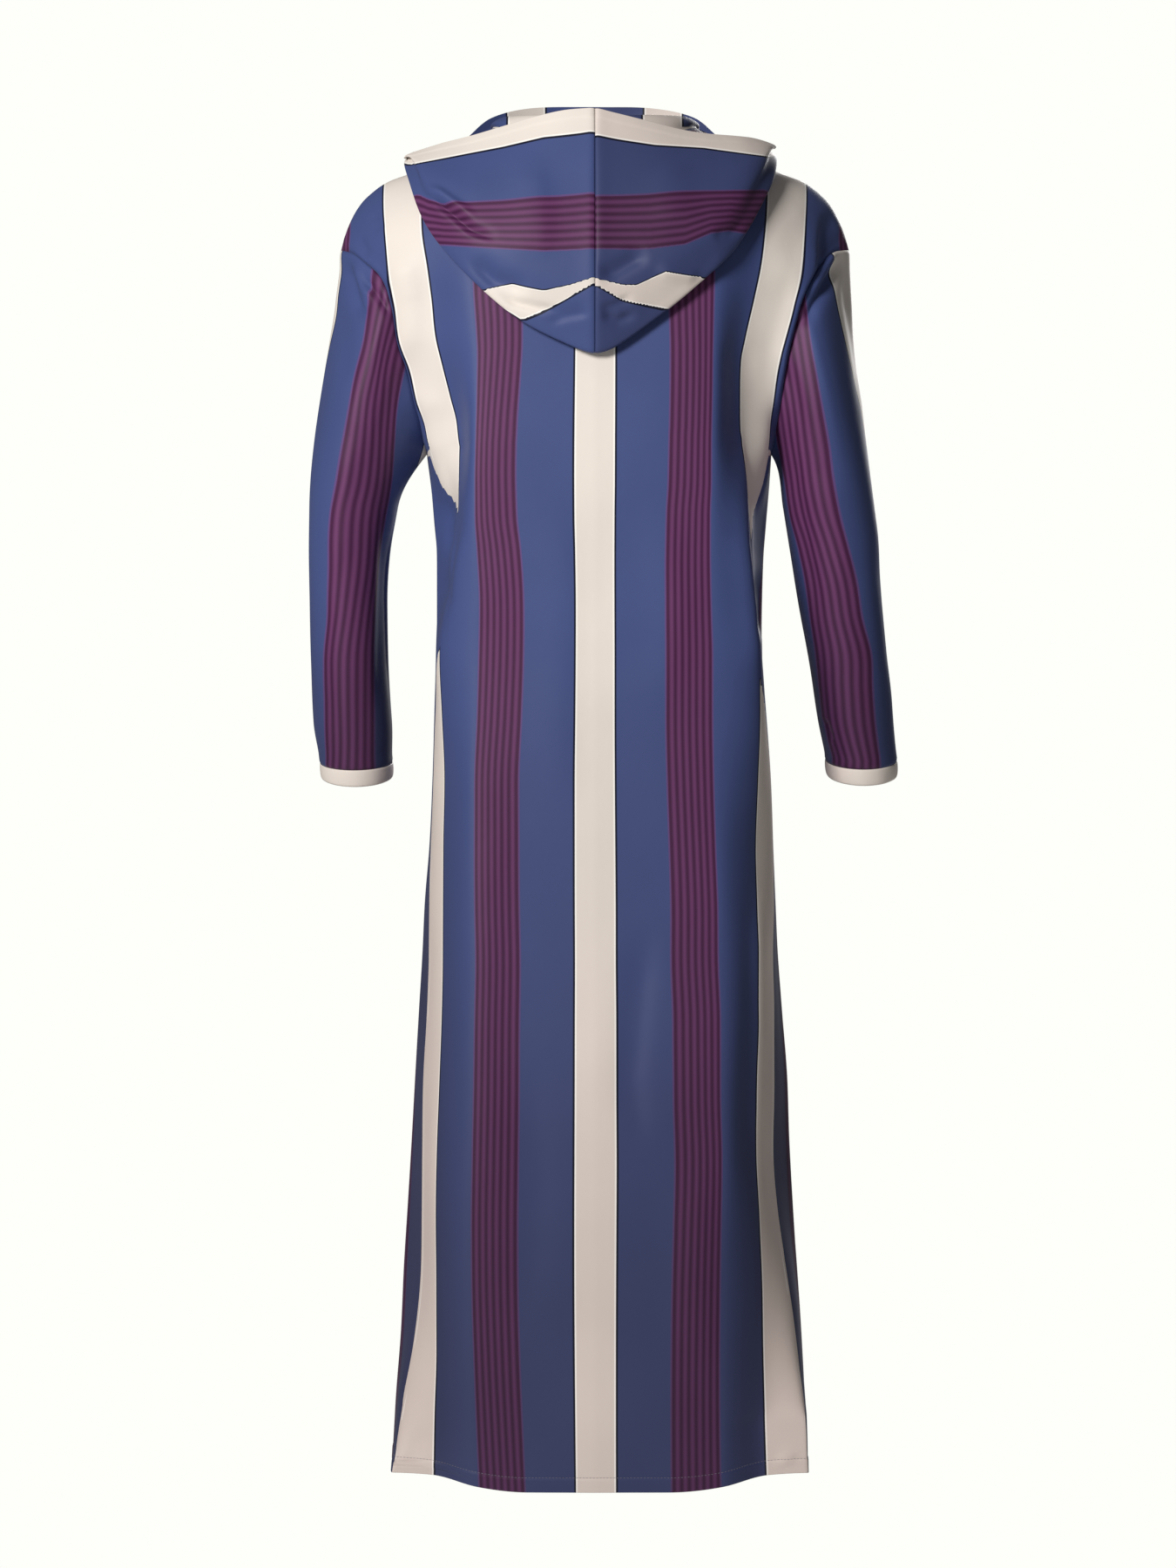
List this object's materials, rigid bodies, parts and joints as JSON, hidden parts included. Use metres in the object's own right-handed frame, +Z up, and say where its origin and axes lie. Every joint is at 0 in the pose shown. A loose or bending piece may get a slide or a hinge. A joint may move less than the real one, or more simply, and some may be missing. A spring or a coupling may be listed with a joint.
{
  "type": "hooded kaftan",
  "caption": "Long straight striped robe with long sleeves, narrow cuffs and a hood thrown back, held in its worn, hollow form.",
  "frame": {"origin": "between the shoulders inside the neck, on the garment's middle plane, where the wearer's shoulders hold it up", "axes": "+Z up, +Y towards the wearer's back and the thrown-back hood, +X towards the wearer's left"},
  "size_m": [0.6103, 0.2923, 1.4293],
  "materials": {
    "striped_cloth": "smooth printed polyester in purple, slate blue and cream stripes, soft sheen",
    "cuff_cloth": "the same cloth, cut from its cream stripe"
  },
  "bodies": {
    "root": {"front": "striped_cloth", "back": "striped_cloth", "sleeve_left": "striped_cloth", "sleeve_right": "striped_cloth", "hood_left": "striped_cloth", "hood_right": "striped_cloth", "cuff_left": "cuff_cloth", "cuff_right": "cuff_cloth"}
  },
  "joints": []
}
